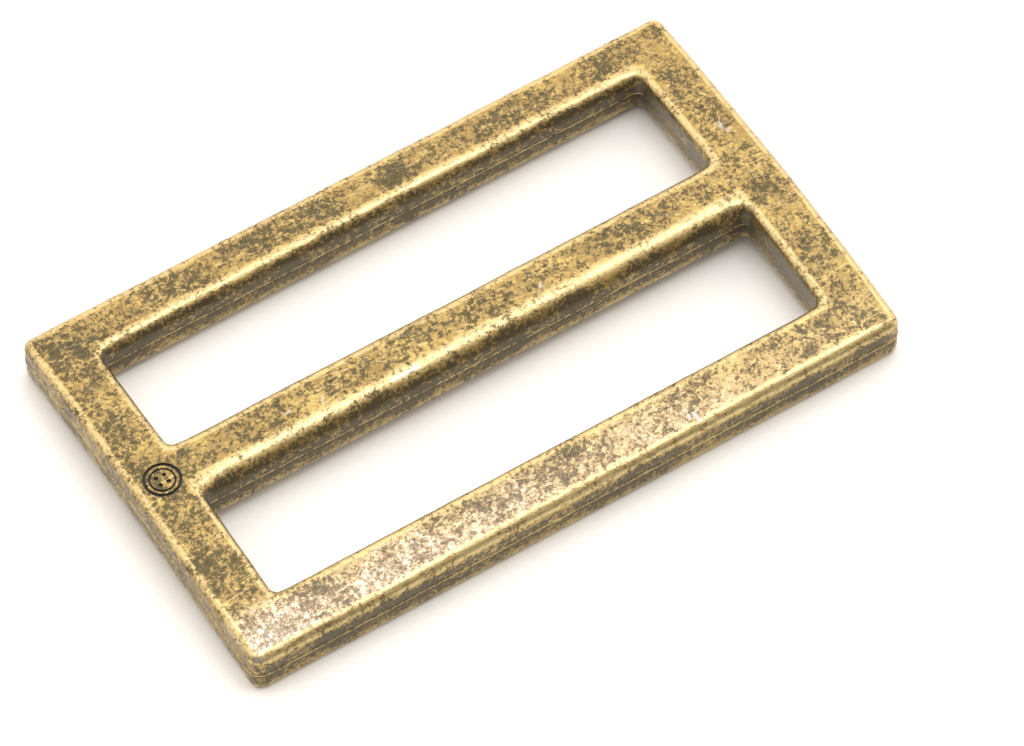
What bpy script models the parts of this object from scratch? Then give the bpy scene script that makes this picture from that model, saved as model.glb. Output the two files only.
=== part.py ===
"""Strap slider for 38 mm webbing: a one-piece die-cast frame with a fixed centre bar between two slots.

Metres, +Z up. X runs along the slots and Y across them. The origin is at the middle of the underside, level
with the two long edges that the slider rests on. The frame is slightly arched: both faces rise towards the
centre bar.
"""

import bmesh
import bpy

MM = 0.001

# Driving dimensions
SLOT_LENGTH = 38.1 * MM  # takes 1 1/2 inch webbing
SLOT_WIDTH = 7.85 * MM
BAR_WIDTH = 4.2 * MM  # centre bar
RAIL_WIDTH = 3.87 * MM  # the two long outer rails
END_BAR_WIDTH = 3.68 * MM
EDGE_THICKNESS = 3.0 * MM  # measured at the long outer edges
TOP_RISE = 0.77 * MM  # how far the upper face rises from its long edges to the centre bar
UNDERSIDE_RISE = 0.57 * MM

# Roundings
CORNER_RADIUS = 0.9 * MM  # outer corners, seen from above
SLOT_CORNER_RADIUS = 0.6 * MM
OUTER_TOP_FILLET = 0.57 * MM
SLOT_TOP_FILLET = 0.6 * MM  # where the strap turns over the edge
UNDERSIDE_FILLET = 0.45 * MM
CORNER_SEGMENTS = 5
FILLET_SEGMENTS = 5
ARCH_STEPS = 3  # flats across each slot's width that follow the arch along the end bars

# Derived sizes
LENGTH = SLOT_LENGTH + 2 * END_BAR_WIDTH
WIDTH = BAR_WIDTH + 2 * (SLOT_WIDTH + RAIL_WIDTH)
HALF_SLOT = SLOT_LENGTH / 2
HALF_LENGTH = LENGTH / 2
HALF_BAR = BAR_WIDTH / 2
HALF_WIDTH = WIDTH / 2
SLOT_FAR_SIDE = HALF_BAR + SLOT_WIDTH
SHARP_ANGLE = 0.6  # radians, for shading
WALL_ANGLE = 1.0  # radians: walls meet the faces and each other at more than this
CLOSE = 1e-6  # two lengths that differ by less are the same


def clear_scene():
    for obj in list(bpy.data.objects):
        bpy.data.objects.remove(obj, do_unlink=True)


def part_collection(name):
    collection = bpy.data.collections.new(name)
    bpy.context.scene.collection.children.link(collection)
    return collection


def antique_brass():
    """Brass plating, darkened and then rubbed back."""
    material = bpy.data.materials.new("antique_brass")
    material.use_nodes = True
    shader = material.node_tree.nodes["Principled BSDF"]
    shader.inputs["Base Color"].default_value = (0.45, 0.34, 0.14, 1.0)
    shader.inputs["Metallic"].default_value = 1.0
    shader.inputs["Roughness"].default_value = 0.38
    return material


def lines_across():
    """The Y positions of the grid: the outer edges, both sides of each slot, and steps across each slot."""
    half = [HALF_BAR + SLOT_WIDTH * step / ARCH_STEPS for step in range(ARCH_STEPS + 1)]
    half.append(HALF_WIDTH)
    return [-y for y in reversed(half)] + half


def lines_along():
    return [-HALF_LENGTH, -HALF_SLOT, HALF_SLOT, HALF_LENGTH]


def flat_outline(bm):
    """The frame's outline as one sheet at Z 0: a grid set on those lines, with the two slots taken out."""
    xs = lines_along()
    ys = lines_across()
    bmesh.ops.create_grid(bm, x_segments=len(xs) - 1, y_segments=len(ys) - 1, size=1.0)
    for vertex in bm.verts:
        column = round((vertex.co.x + 1) / 2 * (len(xs) - 1))
        row = round((vertex.co.y + 1) / 2 * (len(ys) - 1))
        vertex.co = (xs[column], ys[row], 0.0)
    in_slots = []
    for face in bm.faces:
        middle = face.calc_center_median()
        if abs(middle.x) < HALF_SLOT and HALF_BAR < abs(middle.y) < SLOT_FAR_SIDE:
            in_slots.append(face)
    bmesh.ops.delete(bm, geom=in_slots, context="FACES")


def thicken(bm):
    sheet = bm.faces[:]
    raised = bmesh.ops.extrude_face_region(bm, geom=sheet, use_keep_orig=True)
    vertices = [item for item in raised["geom"] if isinstance(item, bmesh.types.BMVert)]
    bmesh.ops.translate(bm, verts=vertices, vec=(0.0, 0.0, EDGE_THICKNESS))
    bmesh.ops.recalc_face_normals(bm, faces=bm.faces)


def on_outer_side(edge):
    """True for an edge of the outer wall, False for one of a slot's wall."""
    middle = (edge.verts[0].co + edge.verts[1].co) / 2
    return abs(middle.x) > HALF_SLOT + CLOSE or abs(middle.y) > SLOT_FAR_SIDE + CLOSE


def round_edges(bm, edges, radius, segments):
    bmesh.ops.bevel(
        bm,
        geom=edges,
        offset=radius,
        offset_type="OFFSET",
        segments=segments,
        profile=0.5,
        affect="EDGES",
        clamp_overlap=False,
    )


def round_vertical_corners(bm):
    for outer, radius in ((True, CORNER_RADIUS), (False, SLOT_CORNER_RADIUS)):
        corners = []
        for edge in bm.edges:
            upright = abs(edge.verts[0].co.z - edge.verts[1].co.z) > CLOSE
            if upright and edge.calc_face_angle() > WALL_ANGLE and on_outer_side(edge) == outer:
                corners.append(edge)
        round_edges(bm, corners, radius, CORNER_SEGMENTS)


def rim(bm, height, outer):
    """The edges between a wall and the face at this height, on the outer wall or round the slots."""
    edges = []
    for edge in bm.edges:
        level = all(abs(vertex.co.z - height) < CLOSE for vertex in edge.verts)
        if level and edge.calc_face_angle() > WALL_ANGLE and on_outer_side(edge) == outer:
            edges.append(edge)
    return edges


def round_rims(bm):
    round_edges(bm, rim(bm, EDGE_THICKNESS, True), OUTER_TOP_FILLET, FILLET_SEGMENTS)
    round_edges(bm, rim(bm, EDGE_THICKNESS, False), SLOT_TOP_FILLET, FILLET_SEGMENTS)
    round_edges(bm, rim(bm, 0.0, True) + rim(bm, 0.0, False), UNDERSIDE_FILLET, FILLET_SEGMENTS)


def arch(bm):
    """Raises each point by the arch, most at the centre bar and not at all at the long edges."""
    for vertex in bm.verts:
        share = 1 - (vertex.co.y / HALF_WIDTH) ** 2
        rise = UNDERSIDE_RISE + (TOP_RISE - UNDERSIDE_RISE) * vertex.co.z / EDGE_THICKNESS
        vertex.co.z += rise * share


def rest_on_origin(bm):
    lowest = min(vertex.co.z for vertex in bm.verts)
    bmesh.ops.translate(bm, verts=bm.verts, vec=(0.0, 0.0, -lowest))


def slider_casting(collection, material):
    bm = bmesh.new()
    flat_outline(bm)
    thicken(bm)
    round_vertical_corners(bm)
    round_rims(bm)
    arch(bm)
    rest_on_origin(bm)
    bmesh.ops.triangulate(bm, faces=bm.faces)
    bmesh.ops.recalc_face_normals(bm, faces=bm.faces)
    mesh = bpy.data.meshes.new("slider_casting")
    bm.to_mesh(mesh)
    bm.free()
    mesh.materials.append(material)
    mesh.shade_smooth()
    mesh.set_sharp_from_angle(angle=SHARP_ANGLE)
    casting = bpy.data.objects.new("slider_casting", mesh)
    collection.objects.link(casting)
    return casting


def main():
    clear_scene()
    slider_casting(part_collection("strap_slider"), antique_brass())


main()
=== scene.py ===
"""The looks of an antique brass strap slider.

It is one casting, rubbed bright on its edges and dark in its hollows. Sizes are in millimetres, in the part's
own frame, and METRES turns them into Blender's units where the mesh and the camera are made. X runs along the
two slots, Y across them and Z out of the shown face.
"""

import math
import random

import bpy
import numpy as np
from mathutils import Matrix, Vector, noise
from mathutils.geometry import delaunay_2d_cdt


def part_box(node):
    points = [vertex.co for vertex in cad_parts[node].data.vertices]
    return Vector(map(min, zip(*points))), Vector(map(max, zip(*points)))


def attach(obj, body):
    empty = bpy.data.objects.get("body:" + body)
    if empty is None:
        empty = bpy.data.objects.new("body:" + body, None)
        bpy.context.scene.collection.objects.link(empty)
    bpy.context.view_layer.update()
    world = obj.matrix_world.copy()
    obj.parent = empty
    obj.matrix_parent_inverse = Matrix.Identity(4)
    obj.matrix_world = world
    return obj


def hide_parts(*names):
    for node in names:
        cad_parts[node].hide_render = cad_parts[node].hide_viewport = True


METRES = 0.001

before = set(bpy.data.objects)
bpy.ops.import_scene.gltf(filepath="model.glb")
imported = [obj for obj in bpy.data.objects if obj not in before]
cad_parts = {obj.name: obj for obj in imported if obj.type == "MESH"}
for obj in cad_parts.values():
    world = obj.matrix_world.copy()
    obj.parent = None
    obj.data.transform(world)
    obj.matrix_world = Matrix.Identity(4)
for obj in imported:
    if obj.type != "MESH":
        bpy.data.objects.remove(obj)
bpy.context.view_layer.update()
HALF_LENGTH, HALF_WIDTH = (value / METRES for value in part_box("slider_casting")[1][:2])

# The casting
SLOT_LENGTH = 38.1
SLOT_WIDTH = 7.85
BAR_WIDTH = 4.2
EDGE_THICKNESS = 3.0  # at the long outer edges
TOP_RISE = 0.77  # how far the upper face arches up from those edges
UNDERSIDE_RISE = 0.57
BAR_FLAT = 1.5  # the bar's upper face is level this far to either side of its middle
CORNER_RADIUS = 0.9
SLOT_CORNER_RADIUS = 0.5
SLOT_CORNER_SHARPNESS = 0.55  # 0 if the slots' corners widen with the roundings, 1 if they keep their radius
UNDERSIDE_FILLET = 0.45

# How far each wall's upper edge is rubbed round, on its +X, +Y, -X and -Y sides
OUTER_FILLETS = (0.5, 0.63, 0.5, 0.64)
NEAR_SLOT_FILLETS = (0.52, 1.2, 0.52, 0.62)
FAR_SLOT_FILLETS = (0.52, 0.88, 0.52, 0.68)
# One side's radius gives way to the next one's between these two leads of X over Y, past the corner's middle
FILLET_BLEND = (-1.2, 0.2)
FILLET_DROP = 1.25  # the roundings reach down this many times as far as in ...
DEEPEST_DROP = 1.15  # ... but no further than this

# What uneven polishing leaves, as waves: (size, wavelength, seed)
FILLET_WAVES = ((0.12, 5.0, 3.1), (0.06, 1.3, 8.4))  # sizes as shares of a rounding's radius
FACE_WAVES = ((0.012, 3.0, 1.5), (0.006, 0.9, 6.5))
FACE_LOWERED = 0.012  # the upper side lies this much lower on average, to make room for its waves
UPPER_MARGIN = 0.2  # waves and knocks fade in from this far above the seam, up to this far below the top

# The parting line: a thin raised seam round every wall, with a fine groove under it
SEAM_HEIGHT = 1.54  # above the underside, before the arch
SEAM_HALF_WIDTH = 0.035
SEAM_FOOT = 0.045  # how far the seam's sides spread
SEAM_UNEVENNESS = 0.30  # this share of how proud it stands follows its waves
SEAM_WAVES = ((1.2, 1.1, 2.2),)
SLOT_SEAM_SHARE = 0.5  # the slots' seams stand less proud
WALL_RECESS = 0.06  # the walls lie this far behind the seam's crest
GROOVE_DROP = 0.13  # the groove's middle, below the seam's
GROOVE_REACH = 0.06  # the groove's lower edge, below its middle
GROOVE_DEPTH = 0.03

# The heights of the walls' other rows of points, between the two roundings
LOW_ROWS = (0.75, 1.0)
HIGH_ROW = 1.75
SHOULDER_GAP = 0.12  # one more row lies this far under the upper rounding ...
LOWEST_SHOULDER = 1.78  # ... but not below this height

# What the shader reads at each point: how rubbed it is, how much of a wall's patina it has (past 1 it is
# painted shade in the slots' corners), how far its metal is laid bare, and how grey its patina is
POINT_SHADES = ("wear", "wall", "bare", "grey")

# Patina left on the walls
LOWER_PATINA = 0.8  # below the seam
UPPER_PATINA = 0.6  # above it, and on the underside
CORNER_SHADE_SHARE = 0.9  # painted shade: this much more than a wall's patina in the slots' corners, where it turns near black
RUB_CLEARS = 0.45  # on a rounding it is gone this share of the way up from where the rubbing starts
FOOT_CLEARS = 0.9  # at the walls' feet this share of it is gone

# Rubbing, where 1 is polished brass
SEAM_WEAR = 0.9
FULL_SEAM = 0.4  # a seam that stands less proud than this share is rubbed less
UNDERSIDE_EDGE_WEAR = 0.75
UNDERSIDE_WEAR = 0.2
END_RUB = 0.5  # how much more the outer walls at the two ends are rubbed
OUTER_RUB = (-0.1, 0.4)  # where up its rounding the rubbing starts and is full, on the near outer wall
SLOT_RUB = (0.3, 0.8)  # the same on the slots' walls that face the near side
OTHER_RUB = (0.0, 0.75)
FACING_NEAR = 0.1  # a wall faces the near side if its way into the metal points this much towards +Y
FOOT_RUB = (0.45, 1.1)  # the walls' feet are rubbed below the first height and dark above the second
FOOT_WEAR = 0.8
WEAR_START = -0.1  # on the upper face the rubbing fades from this far before the roundings' edges ...
WEAR_REACH = 0.58  # ... to this far past them, as a share of the rounding's radius
SCRATCH_BARE = 0.4  # how far the scratches lay the metal bare
KNOCK_BARE = 0.5  # a knock is wholly bare where it has at least this share of its full depth

# How finely the surface is divided
OUTLINE_STEP = 0.22
CORNER_STEPS = 8
FILLET_STEPS = 10
UNDERSIDE_STEPS = 5
TOP_SPACING = 0.13
UNDERSIDE_SPACING = 0.4
EDGE_MARGIN = 0.55  # a face's inner points keep this share of their spacing from its edge
STROKE_STEP = 0.12
STROKE_PARTS = 4  # at least
CIRCLE_CORNERS = 12  # at least
INSIDE_OUTLINES = 1  # the triangulation's setting for triangles inside the outlines only
MERGE_DISTANCE = 1e-6
SHARP_ANGLE = math.radians(38)


def smooth_step(low, high, value):
    share = min(max((value - low) / (high - low), 0.0), 1.0)
    return share * share * (3 - 2 * share)


def wander(x, y, wavelength, seed):
    """Smooth noise from about -1 to 1 that changes over the wavelength."""
    return noise.noise(Vector((x / wavelength, y / wavelength, seed)))


def waves(x, y, start, layers):
    """Layers of smooth noise, each given as (size, wavelength, seed), added to a start."""
    for size, wavelength, seed in layers:
        start += size * wander(x, y, wavelength, seed)
    return start


class Wall:
    """One of the casting's three upright walls: a rounded rectangle with the metal on one side of it."""

    def __init__(self, centre_y, half_x, half_y, corner, fillets, seam, metal_inside):
        self.centre_y = centre_y
        self.half_x = half_x
        self.half_y = half_y
        self.corner = corner
        self.fillets = fillets
        self.seam = seam
        self.side = -1 if metal_inside else 1

    def places(self, step):
        """Points round the wall, each with its way into the metal: (x, y, way x, way y)."""
        found = []
        for quarter in range(4):
            turn = quarter * math.pi / 2
            normal = Vector((math.cos(turn), math.sin(turn)))
            along = Vector((-normal.y, normal.x))
            reach, half = (self.half_x, self.half_y) if quarter % 2 == 0 else (self.half_y, self.half_x)
            straight = half - self.corner
            count = round(2 * straight / step)
            for number in range(count):
                point = normal * reach + along * (2 * straight * number / count - straight)
                found.append((point, normal * self.side))
            centre = normal * (reach - self.corner) + along * straight
            for number in range(CORNER_STEPS):
                angle = turn + math.pi / 2 * number / CORNER_STEPS
                outward = Vector((math.cos(angle), math.sin(angle)))
                sharper = outward.lerp(normal + along, SLOT_CORNER_SHARPNESS)
                found.append((centre + outward * self.corner, sharper if self.side > 0 else -outward))
        return [(p.x, p.y + self.centre_y, way.x, way.y) for p, way in found]

    def beyond(self, x, y):
        """How far a point lies past the middles of the corners, along X and along Y."""
        return abs(x) - (self.half_x - self.corner), abs(y - self.centre_y) - (self.half_y - self.corner)

    def depth(self, x, y):
        """How far inside the metal a point lies, from this wall, and a little less by a slot's corner."""
        past_x, past_y = self.beyond(x, y)
        if self.side > 0:
            return max(past_x, past_y) - self.corner
        return self.corner - math.hypot(max(past_x, 0.0), max(past_y, 0.0)) - min(max(past_x, past_y), 0.0)

    def fillet(self, x, y):
        """The top rounding's radius by the nearest side, and a little uneven from hand polishing."""
        past_x, past_y = self.beyond(x, y)
        along_x = self.fillets[0 if x > 0 else 2]
        along_y = self.fillets[1 if y > self.centre_y else 3]
        radius = along_y + (along_x - along_y) * smooth_step(*FILLET_BLEND, past_x - past_y)
        return radius * waves(x, y, 1.0, FILLET_WAVES)


HALF_BAR = BAR_WIDTH / 2
SLOT_MIDDLE = HALF_BAR + SLOT_WIDTH / 2
HALF_SLOT = (SLOT_LENGTH / 2, SLOT_WIDTH / 2)
WALLS = [
    Wall(0.0, HALF_LENGTH, HALF_WIDTH, CORNER_RADIUS, OUTER_FILLETS, 1.0, True),
    Wall(-SLOT_MIDDLE, *HALF_SLOT, SLOT_CORNER_RADIUS, NEAR_SLOT_FILLETS, SLOT_SEAM_SHARE, False),
    Wall(SLOT_MIDDLE, *HALF_SLOT, SLOT_CORNER_RADIUS, FAR_SLOT_FILLETS, SLOT_SEAM_SHARE, False),
]


class Skin:
    """The casting's surface as it is built up, before it is arched."""

    def __init__(self):
        self.points = []
        self.faces = []
        self.inked = []  # numbers of the faces that hold the mark's black
        self.shades = []  # for each point, its POINT_SHADES

    def point(self, x, y, z, wear=0.0, wall=0.0, bare=0.0, grey=0.0):
        self.points.append((x, y, z))
        self.shades.append((wear, wall, bare, grey))
        return len(self.points) - 1


def seam_rows(seam):
    """The upright part of a wall with the parting line's groove and seam, in rows like those of wall_rows."""
    proud = WALL_RECESS * seam
    groove = SEAM_HEIGHT - GROOVE_DROP
    section = [
        *((height, 0.0) for height in LOW_ROWS),
        (groove - GROOVE_REACH, 0.0),
        (groove, GROOVE_DEPTH),
        (SEAM_HEIGHT - SEAM_HALF_WIDTH - SEAM_FOOT, 0.0),
        (SEAM_HEIGHT - SEAM_HALF_WIDTH, -proud),
        (SEAM_HEIGHT + SEAM_HALF_WIDTH, -proud),
        (SEAM_HEIGHT + SEAM_HALF_WIDTH + SEAM_FOOT, 0.0),
        (HIGH_ROW, 0.0),
    ]
    for height, inset in section:
        worn = smooth_step(0.0, FULL_SEAM, seam) if inset < 0 else 0.0
        patina = LOWER_PATINA if height < SEAM_HEIGHT else UPPER_PATINA
        yield WALL_RECESS + inset, height, SEAM_WEAR * worn, (1 - worn) * patina


def wall_rows(radius, seam, rub):
    """A wall's section from the underside to the upper face: (inset, height, wear, wall) for each row."""
    rows = []
    for number in range(UNDERSIDE_STEPS + 1):
        angle = math.pi / 2 * number / UNDERSIDE_STEPS
        inset = WALL_RECESS + UNDERSIDE_FILLET * (1 - math.sin(angle))
        height = UNDERSIDE_FILLET * (1 - math.cos(angle))
        rows.append((inset, height, UNDERSIDE_EDGE_WEAR * math.sin(2 * angle) ** 0.5, UPPER_PATINA))
    rows += seam_rows(seam)
    reach = radius - WALL_RECESS
    drop = min(reach * FILLET_DROP, DEEPEST_DROP)
    shoulder = max(EDGE_THICKNESS - drop - SHOULDER_GAP, LOWEST_SHOULDER)
    rows.append((WALL_RECESS, shoulder, 0.0, UPPER_PATINA))
    rub_start, rub_end = rub
    for number in range(FILLET_STEPS + 1):
        share = number / FILLET_STEPS
        angle = math.pi / 2 * share
        inset = WALL_RECESS + reach * (1 - math.cos(angle))
        height = EDGE_THICKNESS - drop * (1 - math.sin(angle))
        cleared = smooth_step(rub_start, rub_start + RUB_CLEARS, share)
        rows.append((inset, height, smooth_step(rub_start, rub_end, share), UPPER_PATINA * (1 - cleared)))
    return rows


def add_wall(skin, wall):
    """Lofts one wall with both its roundings, and returns its lowest and highest rings of points."""
    in_slot = wall.side > 0
    columns = []
    for x, y, into_x, into_y in wall.places(OUTLINE_STEP):
        facing_end = max(into_x * into_x - into_y * into_y, 0.0)
        uneven = min(1.0, waves(x, y, 0.0, SEAM_WAVES))
        seam = wall.seam * (1 - SEAM_UNEVENNESS + SEAM_UNEVENNESS * uneven)
        if in_slot:
            seam *= 1 - facing_end
        rub = (SLOT_RUB if in_slot else OUTER_RUB) if into_y > FACING_NEAR else OTHER_RUB
        rubbed = 0.0 if in_slot else END_RUB * facing_end
        # Painted shade: in the slots' corners the walls get more than their full patina, which the shader
        # turns near black
        corner_shade = CORNER_SHADE_SHARE * min(abs(into_x), abs(into_y)) if in_slot else 0.0
        column = []
        for inset, height, wear, patina in wall_rows(wall.fillet(x, y), seam, rub):
            place = (x + into_x * inset, y + into_y * inset, height)
            foot = 1 - smooth_step(*FOOT_RUB, height)
            patina *= (1 - rubbed + corner_shade) * (1 - FOOT_CLEARS * foot)
            wear = max(wear, rubbed, FOOT_WEAR * foot)
            column.append(skin.point(*place, wear, patina, grey=facing_end * min(patina, 1.0)))
        columns.append(column)
    for here, following in zip(columns, columns[1:] + columns[:1]):
        for row in range(len(here) - 1):
            face = (here[row], following[row], following[row + 1], here[row + 1])
            skin.faces.append(face if wall.side < 0 else face[::-1])
    return [column[0] for column in columns], [column[-1] for column in columns]


class Groove:
    """A groove in the upper face along a line of points: level-floored in the mark, sharp in a scratch."""

    def __init__(self, middle, half_width, floor, depth, closed=False, inked=False):
        self.middle = middle
        self.half_width = half_width
        self.floor = floor  # half the width of its level floor
        self.depth = depth
        self.closed = closed
        self.inked = inked

    def lines(self):
        """The groove's parallel lines, each a list of places and the depth along it."""
        for offset in sorted({-self.half_width, -self.floor, self.floor, self.half_width}):
            depth = self.depth if abs(offset) == self.floor else 0.0
            yield self.beside(offset), depth

    def beside(self, offset):
        """The middle line moved sideways, and drawn together at the ends of an open groove."""
        moved = []
        last = len(self.middle) - 1
        for number, (x, y) in enumerate(self.middle):
            before = self.middle[number - 1] if number or self.closed else (x, y)
            after = self.middle[(number + 1) % (last + 1)] if number < last or self.closed else (x, y)
            run = Vector((after[0] - before[0], after[1] - before[1])).normalized()
            share = 1.0 if self.closed else math.sin(math.pi * (number + 0.5) / (last + 1)) ** 0.5
            moved.append((x - run.y * offset * share, y + run.x * offset * share))
        return moved

    def gap(self, x, y):
        """The distance from a point to the groove's middle line."""
        return min(math.hypot(x - a, y - b) for a, b in self.middle)


def circle(x, y, radius, step):
    count = max(CIRCLE_CORNERS, round(2 * math.pi * radius / step))
    turns = (2 * math.pi * number / count for number in range(count))
    return [(x + radius * math.cos(turn), y + radius * math.sin(turn)) for turn in turns]


# The stamped mark at the -X end of the bar: a sewing button seen from above, in circular grooves filled with
# black. Each circle is (radius, half width, half width of its level floor).
MARK_X = -20.72
MARK_EDGE = (1.1, 0.10, 0.065)
MARK_RIM = (0.78, 0.06, 0.03)
MARK_HOLE = (0.07, 0.07, 0.04)
MARK_HOLE_OFFSET = 0.27
MARK_DEPTH = 0.11
MARK_STEP = 0.06


def inked_circle(x, y, radius, half_width, floor):
    return Groove(circle(x, y, radius, MARK_STEP), half_width, floor, MARK_DEPTH, closed=True, inked=True)


def button_mark():
    """The button's edge, the inside of its rim and its four holes."""
    grooves = [inked_circle(MARK_X, 0.0, *MARK_EDGE), inked_circle(MARK_X, 0.0, *MARK_RIM)]
    for side_x in (-1, 1):
        for side_y in (-1, 1):
            x = MARK_X + side_x * MARK_HOLE_OFFSET
            y = side_y * MARK_HOLE_OFFSET
            grooves.append(inked_circle(x, y, *MARK_HOLE))
    return grooves


# The two long scratches by the far -X corner: (start, end, bend, half width, depth)
LONG_SCRATCHES = [
    ((-21.7, 11.75), (-18.3, 11.05), 0.08, 0.05, 0.03),
    ((-21.6, 8.3), (-20.2, 7.5), 0.05, 0.04, 0.02),
]
# The fine scratches, and the ranges that they are drawn from
FINE_SCRATCHES = 26
FINE_SEED = 7
FINE_LENGTH = (0.7, 2.6)
FINE_BEND = 0.06  # at most, as a share of the length
FINE_HALF_WIDTH = (0.02, 0.035)
FINE_DEPTH = (0.006, 0.012)
FINE_EDGE_GAP = 0.15  # how far they keep from the roundings
FINE_GAP = 0.25  # and from the middles of other grooves


def stroke(start, end, bend, half_width, depth):
    """A scratch from start to end that bows sideways by bend."""
    start, end = Vector(start), Vector(end)
    run = end - start
    count = max(STROKE_PARTS, round(run.length / STROKE_STEP))
    side = Vector((-run.y, run.x)).normalized() * bend
    middle = []
    for number in range(count + 1):
        share = number / count
        place = start + run * share + side * math.sin(math.pi * share)
        middle.append((place.x, place.y))
    return Groove(middle, half_width, 0.0, depth)


def clear_of_walls(x, y, margin):
    return all(wall.depth(x, y) > wall.fillet(x, y) + margin for wall in WALLS)


def scratches(others):
    """The given grooves, the long scratches, and fine ones wherever the upper face is still free."""
    chosen = others + [stroke(*scratch) for scratch in LONG_SCRATCHES]
    draw = random.Random(FINE_SEED)
    wanted = len(chosen) + FINE_SCRATCHES
    while len(chosen) < wanted:
        x = draw.uniform(-HALF_LENGTH, HALF_LENGTH)
        y = draw.uniform(-HALF_WIDTH, HALF_WIDTH)
        length = draw.uniform(*FINE_LENGTH)
        turn = draw.uniform(0, math.pi)
        bend = draw.uniform(-FINE_BEND, FINE_BEND) * length
        end = (x + length * math.cos(turn), y + length * math.sin(turn))
        scratch = stroke((x, y), end, bend, draw.uniform(*FINE_HALF_WIDTH), draw.uniform(*FINE_DEPTH))
        inside = all(clear_of_walls(*place, FINE_EDGE_GAP) for place in scratch.middle)
        if inside and all(groove.gap(*place) > FINE_GAP for groove in chosen for place in scratch.middle):
            chosen.append(scratch)
    return chosen


def honeycomb(spacing):
    """Points over the whole casting at the corners of equal triangles."""
    rise = spacing * math.sqrt(3) / 2
    rows = int(HALF_WIDTH / rise)
    for row in range(-rows, rows + 1):
        shift = spacing / 2 if row % 2 else 0.0
        columns = int(HALF_LENGTH / spacing)
        for column in range(-columns, columns + 1):
            yield column * spacing + shift, row * rise


def trace_grooves(grooves, places):
    """Adds the grooves' lines to a face's places, and returns the edges that they run along."""
    edges = []
    for groove in grooves:
        for line, depth in groove.lines():
            first = len(places)
            places += [(x, y, depth, groove.inked) for x, y in line]
            edges += [(number, number + 1) for number in range(first, len(places) - 1)]
            if groove.closed:
                edges.append((len(places) - 1, first))
    return edges


def free_points(spacing, grooves):
    """Evenly spread points that keep clear of the walls' roundings and of the grooves."""
    near = {}  # the grooves that pass through each square millimetre
    for groove in grooves:
        for x, y in groove.middle:
            near.setdefault((round(x), round(y)), set()).add(groove)
    margin = spacing * EDGE_MARGIN
    for x, y in honeycomb(spacing):
        if not clear_of_walls(x, y, margin):
            continue
        around = set()
        for step_x in (-1, 0, 1):
            for step_y in (-1, 0, 1):
                around |= near.get((round(x) + step_x, round(y) + step_y), set())
        if all(groove.gap(x, y) > groove.half_width + margin for groove in around):
            yield x, y


def edge_wear(x, y):
    """1 on the roundings, fading across the upper face."""
    worn = 0.0
    for wall in WALLS:
        radius = wall.fillet(x, y)
        faded = smooth_step(WEAR_START, WEAR_REACH * radius, wall.depth(x, y) - radius)
        worn = max(worn, 1 - faded)
    return worn


def add_face(skin, rings, height, spacing, grooves, upward):
    """Fills a level face between the walls' rings with small triangles that follow the grooves' lines."""
    known = [index for ring in rings for index in ring]
    places = [(*skin.points[index][:2], 0.0, False) for index in known]  # (x, y, depth, inked)
    outlines = []
    for ring in rings:
        first = sum(len(outline) for outline in outlines)
        outlines.append(list(range(first, first + len(ring))))
    edges = trace_grooves(grooves, places)
    places += [(x, y, 0.0, False) for x, y in free_points(spacing, grooves)]
    flat = [Vector(place[:2]) for place in places]
    filled = delaunay_2d_cdt(flat, edges, outlines, INSIDE_OUTLINES, MERGE_DISTANCE)
    made, _, triangles, sources, _, parents = filled
    # The first ring is the casting's outline, and a triangle with another parent too lies in a slot
    kept = [triangle for triangle, parent in zip(triangles, parents) if parent == [0]]
    numbers = {}
    marked = set()
    for corner in sorted({corner for triangle in kept for corner in triangle}):
        x, y = made[corner]
        source = sources[corner]
        depth, inked = places[source[0]][2:] if source else (0.0, False)
        if source and source[0] < len(known):
            numbers[corner] = known[source[0]]
        else:
            wear = edge_wear(x, y) if upward else UNDERSIDE_WEAR
            patina = 0.0 if upward else UPPER_PATINA
            bare = SCRATCH_BARE if depth and not inked else 0.0
            numbers[corner] = skin.point(x, y, height - depth, wear, patina, bare)
        if inked and depth > 0:
            marked.add(corner)
    for triangle in kept:
        face = tuple(numbers[corner] for corner in triangle)
        if not marked.isdisjoint(triangle):
            skin.inked.append(len(skin.faces))
        skin.faces.append(face if upward else face[::-1])


# Knocks in the upper face: (x, y, half length, half width, turn in degrees, depth)
KNOCKS = [
    (5.5, -0.2, 0.28, 0.12, 60, 0.04),
    (8.5, -12.95, 0.4, 0.22, 95, 0.06),
    (8.1, -12.7, 0.25, 0.15, 80, 0.04),
    (21.1, 4.0, 0.38, 0.15, 80, 0.04),
    (21.3, 3.4, 0.2, 0.12, 30, 0.03),
    (-22.2, -13.4, 0.36, 0.13, -30, 0.03),
    # Partly a painted highlight: this long, shallow knock along the bar's near edge is laid bare so that its
    # pale metal
    # stands in for a glint along the ridge
    (-4.6, -1.28, 1.1, 0.1, 0, 0.015),
    (-11.95, 0.13, 0.3, 0.1, 0, 0.03),
    (-9.75, -0.27, 0.4, 0.07, 60, 0.03),
]


def knocked(x, y):
    """How deep the knocks go at a place, and how bare they leave the metal."""
    deepest = 0.0
    bare = 0.0
    for knock_x, knock_y, half_length, half_width, turn, depth in KNOCKS:
        away = Vector((x - knock_x, y - knock_y))
        if away.length < half_length:
            away.rotate(Matrix.Rotation(-math.radians(turn), 2))
            inside = 1 - (away.x / half_length) ** 2 - (away.y / half_width) ** 2
            if inside > 0:
                deepest = max(deepest, depth * inside)
                bare = max(bare, smooth_step(0.0, KNOCK_BARE, inside))
    return deepest, bare


def arched(x, y, z):
    """The arch of the whole casting: most at the centre bar, and none at the long edges."""
    share = 1 - (max(abs(y), BAR_FLAT) / HALF_WIDTH) ** 2
    return z + (UNDERSIDE_RISE + (TOP_RISE - UNDERSIDE_RISE) * z / EDGE_THICKNESS) * share


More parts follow.
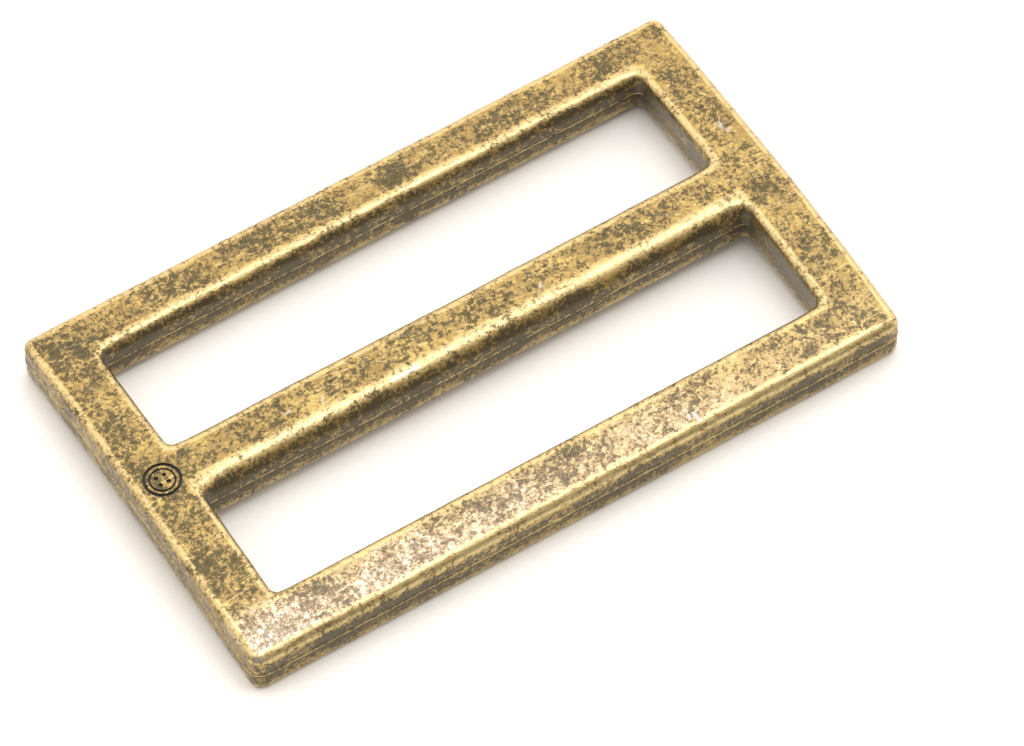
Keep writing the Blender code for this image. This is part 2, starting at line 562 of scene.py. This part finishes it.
def settle(skin):
    """Knocks and polishing waves on the upper side, then the arch, then down onto the ground."""
    for number, (x, y, z) in enumerate(skin.points):
        upper = smooth_step(SEAM_HEIGHT + UPPER_MARGIN, EDGE_THICKNESS - UPPER_MARGIN, z)
        depth, bare = knocked(x, y)
        wave = waves(x, y, 0.0, FACE_WAVES) - FACE_LOWERED
        skin.points[number] = (x, y, arched(x, y, z + upper * (wave - depth)))
        wear, wall, already, grey = skin.shades[number]
        skin.shades[number] = (wear, wall, max(already, bare * upper), grey)
    lowest = min(z for _, _, z in skin.points)
    skin.points = [(x, y, z - lowest) for x, y, z in skin.points]


def slider_casting(brass, ink):
    skin = Skin()
    grooves = scratches(button_mark())
    lowest, highest = zip(*(add_wall(skin, wall) for wall in WALLS))
    add_face(skin, highest, EDGE_THICKNESS, TOP_SPACING, grooves, True)
    add_face(skin, lowest, 0.0, UNDERSIDE_SPACING, [], False)
    settle(skin)
    mesh = bpy.data.meshes.new("brass_slider")
    mesh.from_pydata(np.array(skin.points) * METRES, [], skin.faces)
    for name, values in zip(POINT_SHADES, zip(*skin.shades)):
        mesh.attributes.new(name, "FLOAT", "POINT").data.foreach_set("value", values)
    mesh.materials.append(brass)
    mesh.materials.append(ink)
    for face in skin.inked:
        mesh.polygons[face].material_index = 1
    mesh.shade_smooth()
    mesh.set_sharp_from_angle(angle=SHARP_ANGLE)
    piece = bpy.data.objects.new("brass_slider", mesh)
    bpy.context.scene.collection.objects.link(piece)
    return piece


class Shader:
    """Adds nodes to one material, where each input is a number, a colour or another node's output."""

    def __init__(self, name):
        self.material = bpy.data.materials.new(name)
        self.material.use_nodes = True
        self.tree = self.material.node_tree
        self.surface = self.tree.nodes["Principled BSDF"]
        place = self.add("ShaderNodeTexCoord").outputs["Object"]
        grown = self.add("ShaderNodeVectorMath", {0: place, 3: 1 / METRES}, operation="SCALE")
        self.place = grown.outputs[0]  # in millimetres

    def add(self, kind, inputs=None, **settings):
        node = self.tree.nodes.new(kind)
        for key, value in settings.items():
            setattr(node, key, value)
        for key, value in (inputs or {}).items():
            self.feed(node.inputs[key], value)
        return node

    def feed(self, socket, value):
        if isinstance(value, bpy.types.NodeSocket):
            self.tree.links.new(value, socket)
        else:
            socket.default_value = value

    def math(self, operation, *values):
        return self.add("ShaderNodeMath", dict(enumerate(values)), operation=operation).outputs[0]

    def chain(self, operation, *values):
        """One operation over all the values, from the first to the last."""
        result = values[0]
        for value in values[1:]:
            result = self.math(operation, result, value)
        return result

    def part(self, value, weight):
        return self.math("MULTIPLY", value, weight)

    def total(self, *terms):
        """The sum of its terms, each a value or a pair of a value and its weight."""
        weighed = (self.part(*term) if isinstance(term, tuple) else term for term in terms)
        return self.chain("ADD", *weighed)

    def attribute(self, name):
        return self.add("ShaderNodeAttribute", attribute_name=name).outputs["Fac"]

    def noise(self, wavelength, seed, detail=2.0, roughness=0.5, distortion=0.0, place=None):
        inputs = {
            "Vector": place or self.place,
            "W": seed,
            "Scale": 1 / wavelength,
            "Detail": detail,
            "Roughness": roughness,
            "Distortion": distortion,
        }
        return self.add("ShaderNodeTexNoise", inputs, noise_dimensions="4D").outputs["Fac"]

    def step(self, value, low, high):
        """0 below low and 1 above high, with a smooth way between."""
        inputs = {"Value": value, "From Min": low, "From Max": high}
        return self.add("ShaderNodeMapRange", inputs, interpolation_type="SMOOTHSTEP").outputs["Result"]

    def mix(self, share, first, second):
        """A colour between two. The node's sockets share their names, so its colour ones go by number."""
        inputs = {"Factor": share, 6: first, 7: second}
        return self.add("ShaderNodeMix", inputs, data_type="RGBA").outputs[2]

    def scratches(self, turn, wavelength, seed, stretch=7.0, width=0.010):
        """Thin curved lines that run mostly one way, broken up along their length."""
        inputs = {
            "Vector": self.place,
            "Rotation": (0.0, 0.0, math.radians(turn)),
            "Scale": (1 / stretch, 1.0, 1.0),
        }
        place = self.add("ShaderNodeMapping", inputs).outputs[0]
        field = self.noise(wavelength, seed, 0.0, place=place)
        off = self.math("ABSOLUTE", self.math("SUBTRACT", field, 0.5))
        line = self.math("SUBTRACT", 1.0, self.step(off, 0.0, width))
        breaks = self.step(self.noise(1.4, seed + 50, 1.0), 0.46, 0.56)
        return self.part(line, breaks)


def rgb(red, green, blue):
    return (red, green, blue, 1.0)


POLISHED = rgb(0.57, 0.455, 0.22)
BRASS = rgb(0.50, 0.37, 0.12)
DEEP_BRASS = rgb(0.27, 0.185, 0.055)
# Painted light on the near rail: the brass of its painted sheen, and the white of its painted glints
PAINTED_SHEEN_BRASS = rgb(0.57, 0.49, 0.395)
PAINTED_GLINT_WHITE = rgb(0.67, 0.64, 0.62)
BROWN_BRASS = rgb(0.30, 0.205, 0.085)
PATINA = rgb(0.055, 0.043, 0.018)
PALE_PATINA = rgb(0.13, 0.105, 0.045)
# The near rail's patina, paler and purplish where its painted sheen lies
PURPLE_SHEEN_PATINA = rgb(0.085, 0.062, 0.045)
PALE_SHEEN_PATINA = rgb(0.22, 0.17, 0.13)
WALL_PATINA = rgb(0.12, 0.102, 0.063)
GREY_PATINA = rgb(0.25, 0.215, 0.165)
# Painted shade: the near black of the slots' corners
PAINTED_CORNER_SHADE = rgb(0.012, 0.010, 0.007)
BARE_METAL = rgb(0.50, 0.50, 0.52)
FILL_BLACK = rgb(0.008, 0.007, 0.006)
FILL_DUST = rgb(0.05, 0.045, 0.03)
PAPER_GREY = rgb(0.95, 0.95, 0.95)
PAPER_WHITE = rgb(0.97, 0.97, 0.97)

# Fine lines rubbed into the brass: (direction in degrees, wavelength, seed)
RUBBED_LINES = ((20, 0.8, 11.0), (75, 0.7, 12.0), (-40, 0.9, 13.0), (120, 0.6, 14.0), (-8, 0.7, 15.0))

# Where the brass changes, from where a change starts to where it is full
NEAR_RAIL = (-9.6, -12.4)  # along Y
UPPER_FACE = (2.8, 3.0)  # in height
SHEEN_END = (30.0, -14.0)  # along X; the near rail's painted sheen starts here and is full there
SPARKLING_END = (-14.0, -20.0)  # along X; the near rail's painted glints start here and cover it all from there

# How the darkness changes along X: (where a change starts, where it is full, how much darker)
RAIL_CHANGES = ((-18.0, -10.0, -0.035), (2.0, 16.0, -0.03))  # on the near rail only
OTHER_CHANGES = ((18.0, 20.0, -0.03), (-12.0, -20.0, 0.02))

RELIEF = 0.02  # how far the shaded relief goes down


class AntiqueBrass(Shader):
    """Brass that was blackened all over and then rubbed, so that black stays in specks and on the walls."""

    def __init__(self):
        super().__init__("antique_brass")
        self.wear, self.wall, self.bare, self.grey = (self.attribute(name) for name in POINT_SHADES)
        axes = self.add("ShaderNodeSeparateXYZ", {0: self.place})
        self.along, across, above = (axes.outputs[name] for name in "XYZ")
        self.lines = self.chain("MAXIMUM", *(self.scratches(*line) for line in RUBBED_LINES))
        self.grit = self.noise(0.14, 7.0, 1.0, 0.5)

        # Painted light on the near rail's upper face: near masks a painted sheen, strongest towards its -X
        # end,
        # that stands in for its reflection of the bright light; glint holds painted glints, all over that end
        # and in patches
        self.rail = self.step(across, *NEAR_RAIL)
        pale = self.step(self.along, *SHEEN_END)
        self.near = self.chain("MULTIPLY", self.rail, self.step(above, *UPPER_FACE), pale)
        self.glint = self.glints()

        dark = self.darkness()
        # The patina is cleared where the metal is bare, and under the painted glints
        bright = self.math("MAXIMUM", self.part(self.bare, 0.7), self.part(self.glint, 0.5))
        self.halo = self.step(dark, -0.26, -0.04)
        self.patina = self.part(self.step(dark, -0.11, 0.11), self.math("SUBTRACT", 1.0, bright))
        self.rubbed = self.math("MAXIMUM", self.step(self.wear, 0.35, 0.95), self.part(self.lines, 0.6))
        self.paint()

    def glints(self):
        """The near rail's painted glints: all over its -X end, and in patches further along."""
        end = self.step(self.along, *SPARKLING_END)
        grains = self.step(self.total(self.noise(0.16, 17.0, 1.0), (end, 0.12)), 0.40, 0.62)
        patches = self.math("MAXIMUM", end, self.step(self.noise(3.5, 16.0, 1.0), 0.5, 0.65))
        return self.chain("MULTIPLY", grains, patches, self.near)

    def changes(self, places):
        return [(self.step(self.along, start, full), darker) for start, full, darker in places]

    def darkness(self):
        """How dark each place is: about 0 on average, where the patina is halfway in."""
        cloud = self.noise(2.4, 1.0, 2.0, 0.5)
        fleck = self.noise(0.9, 2.0, 2.0, 0.6, 0.3)
        speck = self.noise(0.30, 3.0, 2.5, 0.65)
        return self.total(
            (cloud, 0.6),
            (fleck, 0.5),
            (self.grit, 0.6),
            self.total((speck, 1.15), -1.425),  # which takes off the four noises' average
            (self.wear, -0.18),
            (self.wall, 0.20),
            (self.lines, -0.16),
            (self.total(*self.changes(RAIL_CHANGES)), self.rail),
            *self.changes(OTHER_CHANGES),
        )

    def metal(self):
        """The brass: deep or yellow, painted sheen and glints on the near rail, polished where rubbed, brown
        by patina.
        """
        tone = self.total((self.noise(3.0, 4.0, 2.0), 0.8), self.noise(0.24, 8.0, 2.0))
        brass = self.mix(self.step(tone, 0.70, 1.12), DEEP_BRASS, BRASS)
        brass = self.mix(self.part(self.near, 0.75), brass, PAINTED_SHEEN_BRASS)
        brass = self.mix(self.glint, brass, PAINTED_GLINT_WHITE)
        brass = self.mix(self.rubbed, brass, POLISHED)
        return self.mix(self.part(self.halo, 0.75), brass, BROWN_BRASS)

    def black(self):
        """The patina: purplish in the near rail's painted sheen, grey on the ends' walls, painted shade in
        the slots' corners.
        """
        grain = self.step(self.grit, 0.3, 0.7)
        black = self.mix(grain, PATINA, PALE_PATINA)
        black = self.mix(self.part(self.near, 0.9), black, self.mix(grain, PURPLE_SHEEN_PATINA, PALE_SHEEN_PATINA))
        black = self.mix(self.wall, black, WALL_PATINA)
        black = self.mix(self.grey, black, GREY_PATINA)
        # Painted shade: where the wall value passes 1, in the slots' corners, the patina turns near black
        return self.mix(self.step(self.wall, 1.0, 1.8), black, PAINTED_CORNER_SHADE)

    def paint(self):
        """The colour, the roughness and the fine relief."""
        colour = self.mix(self.patina, self.metal(), self.black())
        colour = self.mix(self.part(self.bare, 0.6), colour, BARE_METAL)
        matt = self.math("MAXIMUM", self.patina, self.wall)
        rough = self.total(0.34, (matt, 0.16), (self.noise(0.9, 5.0, 2.0), 0.10), (self.rubbed, -0.08))
        height = self.total(1.0, (self.patina, -0.45), (self.lines, -0.3), (self.grit, 0.8))
        relief = {"Strength": 1.0, "Distance": RELIEF * METRES, "Height": height}
        self.feed(self.surface.inputs["Base Color"], colour)
        self.feed(self.surface.inputs["Roughness"], rough)
        self.feed(self.surface.inputs["Normal"], self.add("ShaderNodeBump", relief).outputs[0])
        self.surface.inputs["Metallic"].default_value = 1.0
        self.surface.inputs["Coat Weight"].default_value = 0.4
        self.surface.inputs["Coat Roughness"].default_value = 0.22


def black_fill():
    """The enamel in the stamped mark, matt and a little dusty."""
    shader = Shader("mark_black")
    dust = shader.step(shader.noise(0.15, 21.0, 3.0), 0.45, 0.75)
    shader.feed(shader.surface.inputs["Base Color"], shader.mix(dust, FILL_BLACK, FILL_DUST))
    shader.feed(shader.surface.inputs["Roughness"], shader.total(0.55, (dust, 0.25)))
    return shader.material


def paper():
    shader = Shader("white_paper")
    tint = shader.step(shader.noise(40.0, 31.0, 2.0), 0.3, 0.7)
    shader.feed(shader.surface.inputs["Base Color"], shader.mix(tint, PAPER_GREY, PAPER_WHITE))
    shader.surface.inputs["Roughness"].default_value = 0.9
    shader.surface.inputs["Specular IOR Level"].default_value = 0.1
    return shader.material


FLOOR_HALF = 1.5  # in metres


def floor():
    mesh = bpy.data.meshes.new("floor")
    corners = [(x * FLOOR_HALF, y * FLOOR_HALF, 0.0) for x, y in ((-1, -1), (1, -1), (1, 1), (-1, 1))]
    mesh.from_pydata(corners, [], [(0, 1, 2, 3)])
    mesh.materials.append(paper())
    sheet = bpy.data.objects.new("floor", mesh)
    bpy.context.scene.collection.objects.link(sheet)
    return sheet


# The camera, as an azimuth from -Y towards +X, an elevation, and a slight roll
CAMERA_AZIMUTH = math.radians(-30.34)
CAMERA_ELEVATION = math.radians(55.54)
CAMERA_ROLL = math.radians(-2.0)
CAMERA_DISTANCE = 464.9
CAMERA_TARGET = Vector((1.99, -2.50, 0.0))
LENS = 271.7
SENSOR_WIDTH = 36.0
CLIP_START = 0.01  # in metres


def camera():
    towards = Vector((
        math.sin(CAMERA_AZIMUTH) * math.cos(CAMERA_ELEVATION),
        -math.cos(CAMERA_AZIMUTH) * math.cos(CAMERA_ELEVATION),
        math.sin(CAMERA_ELEVATION),
    ))
    level = Vector((math.cos(CAMERA_AZIMUTH), math.sin(CAMERA_AZIMUTH), 0.0))
    above = towards.cross(level)
    right = level * math.cos(CAMERA_ROLL) + above * math.sin(CAMERA_ROLL)
    data = bpy.data.cameras.new("camera")
    data.lens = LENS
    data.sensor_width = SENSOR_WIDTH
    data.clip_start = CLIP_START
    eye = bpy.data.objects.new("camera", data)
    turn = Matrix((right, towards.cross(right), towards)).transposed()
    place = (CAMERA_TARGET + towards * CAMERA_DISTANCE) * METRES
    eye.matrix_world = Matrix.Translation(place) @ turn.to_4x4()
    bpy.context.scene.collection.objects.link(eye)
    bpy.context.scene.camera = eye


# The softbox: a square lamp nearly overhead and a little towards +X, with its place and size in metres
SOFTBOX_PLACE = (0.12, 0.02, 0.59)
SOFTBOX_SIZE = 0.3
SOFTBOX_WATTS = 0.8
SOFTBOX_COLOUR = (1.0, 0.985, 0.96)


def softbox():
    """An area light aimed at the slider."""
    data = bpy.data.lights.new("overhead_softbox", "AREA")
    data.size = SOFTBOX_SIZE
    data.energy = SOFTBOX_WATTS
    data.color = SOFTBOX_COLOUR
    light = bpy.data.objects.new("overhead_softbox", data)
    light.location = SOFTBOX_PLACE
    light.rotation_euler = Vector(SOFTBOX_PLACE).to_track_quat("Z", "Y").to_euler()
    bpy.context.scene.collection.objects.link(light)


# How the room glows: (height, from the horizon at 0 to overhead at 1; brightness; warmth)
SKY = [
    (0.0, 1.4, 0.05),
    (0.4, 1.6, 0.12),
    (0.62, 2.1, 0.16),
    (0.72, 2.2, 0.14),
    (0.84, 1.75, 0.06),
    (0.95, 1.6, 0.0),
]
SKY_STRENGTH = 2.2
GREEN_LOSS = 0.7  # how much green the sky loses with its warmth
BLUE_LOSS = 1.5
BACKWARD = (0.505, 0.863, 0.0)  # from the camera over the slider, along the floor
FRONT_SHARE = 0.27  # the room behind the camera is this much as bright
FRONT_FADE = (-0.5, 0.0)  # the room brightens between directions that point this much backward


def sky_colour(tree, towards):
    """The sky's colour by its height."""
    up = tree.nodes.new("ShaderNodeSeparateXYZ")
    tree.links.new(towards, up.inputs[0])
    ramp = tree.nodes.new("ShaderNodeValToRGB")
    sky = ramp.color_ramp.elements
    while len(sky) < len(SKY):
        sky.new(0.5)
    for element, (height, glow, warmth) in zip(sky, SKY):
        glow /= SKY_STRENGTH
        element.position = height
        element.color = rgb(glow, glow * (1 - warmth * GREEN_LOSS), glow * (1 - warmth * BLUE_LOSS))
    tree.links.new(up.outputs["Z"], ramp.inputs[0])
    return ramp.outputs[0]


def sky_strength(tree, towards):
    """The sky's brightness: full behind the slider and dimmer behind the camera."""
    back = tree.nodes.new("ShaderNodeVectorMath")
    back.operation = "DOT_PRODUCT"
    back.inputs[1].default_value = BACKWARD
    tree.links.new(towards, back.inputs[0])
    share = tree.nodes.new("ShaderNodeMapRange")
    share.interpolation_type = "SMOOTHSTEP"
    share.inputs["From Min"].default_value, share.inputs["From Max"].default_value = FRONT_FADE
    share.inputs["To Min"].default_value = FRONT_SHARE * SKY_STRENGTH
    share.inputs["To Max"].default_value = SKY_STRENGTH
    tree.links.new(back.outputs["Value"], share.inputs["Value"])
    return share.outputs["Result"]


def studio():
    """A pale room, brightest well above the horizon and dimmer behind the camera, with one softbox."""
    world = bpy.data.worlds.new("studio")
    bpy.context.scene.world = world
    world.use_nodes = True
    tree = world.node_tree
    towards = tree.nodes.new("ShaderNodeTexCoord").outputs["Generated"]
    background = tree.nodes["Background"]
    tree.links.new(sky_colour(tree, towards), background.inputs["Color"])
    tree.links.new(sky_strength(tree, towards), background.inputs["Strength"])
    softbox()
    bpy.context.scene.view_settings.view_transform = "Standard"


def main():
    camera()
    studio()
    floor()
    casting = slider_casting(AntiqueBrass().material, black_fill())
    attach(casting, "root")
    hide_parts("slider_casting")


main()
